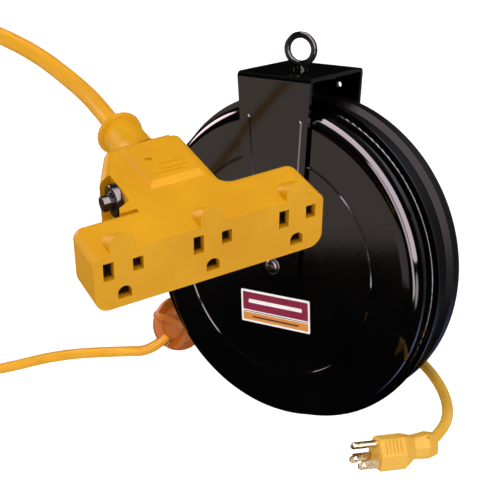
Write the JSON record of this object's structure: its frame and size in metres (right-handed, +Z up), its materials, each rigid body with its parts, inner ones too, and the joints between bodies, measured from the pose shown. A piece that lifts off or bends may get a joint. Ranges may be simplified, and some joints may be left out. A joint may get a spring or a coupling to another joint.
{
  "type": "extension cord reel",
  "caption": "Hanging spring-return extension cord reel: round steel case in a swivelling U bracket, cord with stop ball and multi-outlet tap, short lead with mains plug.",
  "frame": {"origin": "centre of the hanging eye's ring", "axes": "+Z up towards what the reel hangs from, +Y along the reel's axle from the labelled front to the back, +X to the right seen from the front"},
  "size_m": [0.547, 0.4903, 0.3439],
  "materials": {
    "zinc_steel": "black zinc plating, slightly worn",
    "black_enamel": "glossy black baked enamel on sheet steel",
    "inner_steel": "plain steel",
    "bronze": "sintered bronze",
    "label_print": "printed two-colour plate with plain bars",
    "black_plastic": "moulded, fine texture",
    "black_rubber": "moulded rubber, satin",
    "yellow_plug": "moulded, satin",
    "cord_jacket": "smooth yellow-orange jacket, satin",
    "plug_metal": "nickel-brass strip",
    "spring_steel": "blued spring steel",
    "carbon": "carbon",
    "ring_plastic": "phenolic moulding",
    "copper_alloy": "copper alloy",
    "orange_ball": "moulded, satin",
    "yellow_tap": "moulded, satin",
    "wire_sleeve": "wire insulation"
  },
  "bodies": {
    "eye": {"eye_bolt": "black_enamel", "eye_washer_top": "black_enamel", "eye_washer_lower": "black_enamel", "eye_nut": "black_enamel"},
    "bracket": {"bracket": "black_enamel", "front_washer": "zinc_steel", "front_screw": "zinc_steel", "rear_washer": "zinc_steel", "rear_screw": "zinc_steel", "shaft": "inner_steel"},
    "housing": {"front_shell": "black_enamel", "rear_shell": "black_enamel", "front_bushing": "bronze", "rear_bushing": "bronze", "label_plate": "label_print", "cord_guide": "black_plastic", "lead_box": "black_plastic", "lead_box_screws": "zinc_steel", "lead_strain_relief": "black_rubber", "lead_cord": "cord_jacket", "plug_body": "yellow_plug", "plug_blades": "plug_metal", "plug_ground_pin": "plug_metal", "brush_holder": "black_plastic", "brushes": "carbon", "brush_springs": "spring_steel", "pawl_pin": "zinc_steel", "pawl_spring": "spring_steel"},
    "drum": {"drum_hub": "inner_steel", "spring_cover": "inner_steel", "drum_front_flange": "inner_steel", "drum_rear_flange": "inner_steel", "ratchet_wheel": "inner_steel", "drum_rivets": "zinc_steel", "power_spring": "spring_steel", "slip_ring_disc": "ring_plastic", "slip_rings": "copper_alloy", "cord_winding": "cord_jacket"},
    "pawl": {"pawl": "inner_steel"},
    "pull": {"inner_cord": "cord_jacket", "stop_ball_left": "orange_ball", "stop_ball_right": "orange_ball", "stop_ball_screws": "zinc_steel", "tap_cord": "cord_jacket", "tap_body": "yellow_tap", "tap_core": "yellow_tap", "hot_bus": "copper_alloy", "neutral_bus": "copper_alloy", "ground_bus": "copper_alloy", "tap_leads": "wire_sleeve", "breaker_body": "black_plastic", "breaker_collar": "black_plastic", "tap_neck": "yellow_tap"},
    "button": {"breaker_button": "black_plastic"}
  },
  "joints": [
    {"name": "bracket_swivel", "type": "hinge", "parent": "eye", "child": "bracket", "pos_m": [0, 0, -0.0147], "axis": [0, 0, 1], "continuous": true},
    {"name": "housing_pivot", "type": "hinge", "parent": "bracket", "child": "housing", "pos_m": [0, 0, -0.1597], "axis": [0, 1, 0], "range_deg": [-35, 35]},
    {"name": "drum_spin", "type": "hinge", "parent": "housing", "child": "drum", "pos_m": [0, 0, -0.1597], "axis": [0, -1, 0], "range_deg": [0, 72], "stiffness_Nm_per_rad": 0.2, "springref_deg": -171.89},
    {"name": "cord_pull", "type": "slide", "parent": "housing", "child": "pull", "axis": [-0.3981, 0, -0.9173], "range_m": [0, 0.101]},
    {"name": "pawl_swing", "type": "hinge", "parent": "housing", "child": "pawl", "pos_m": [-0.02638, 0, -0.12202], "axis": [0, -1, 0], "range_deg": [0, 8.9], "stiffness_Nm_per_rad": 0.02, "springref_deg": -17.19},
    {"name": "breaker_press", "type": "slide", "parent": "pull", "child": "button", "axis": [0.4403, 0.8854, 0.1489], "range_m": [0, 0.0025], "stiffness_N_per_m": 600, "springref_m": -0.002}
  ],
  "couplings": [
    {"joint": "cord_pull", "follows": "drum_spin", "m_per_rad": 0.08}
  ]
}
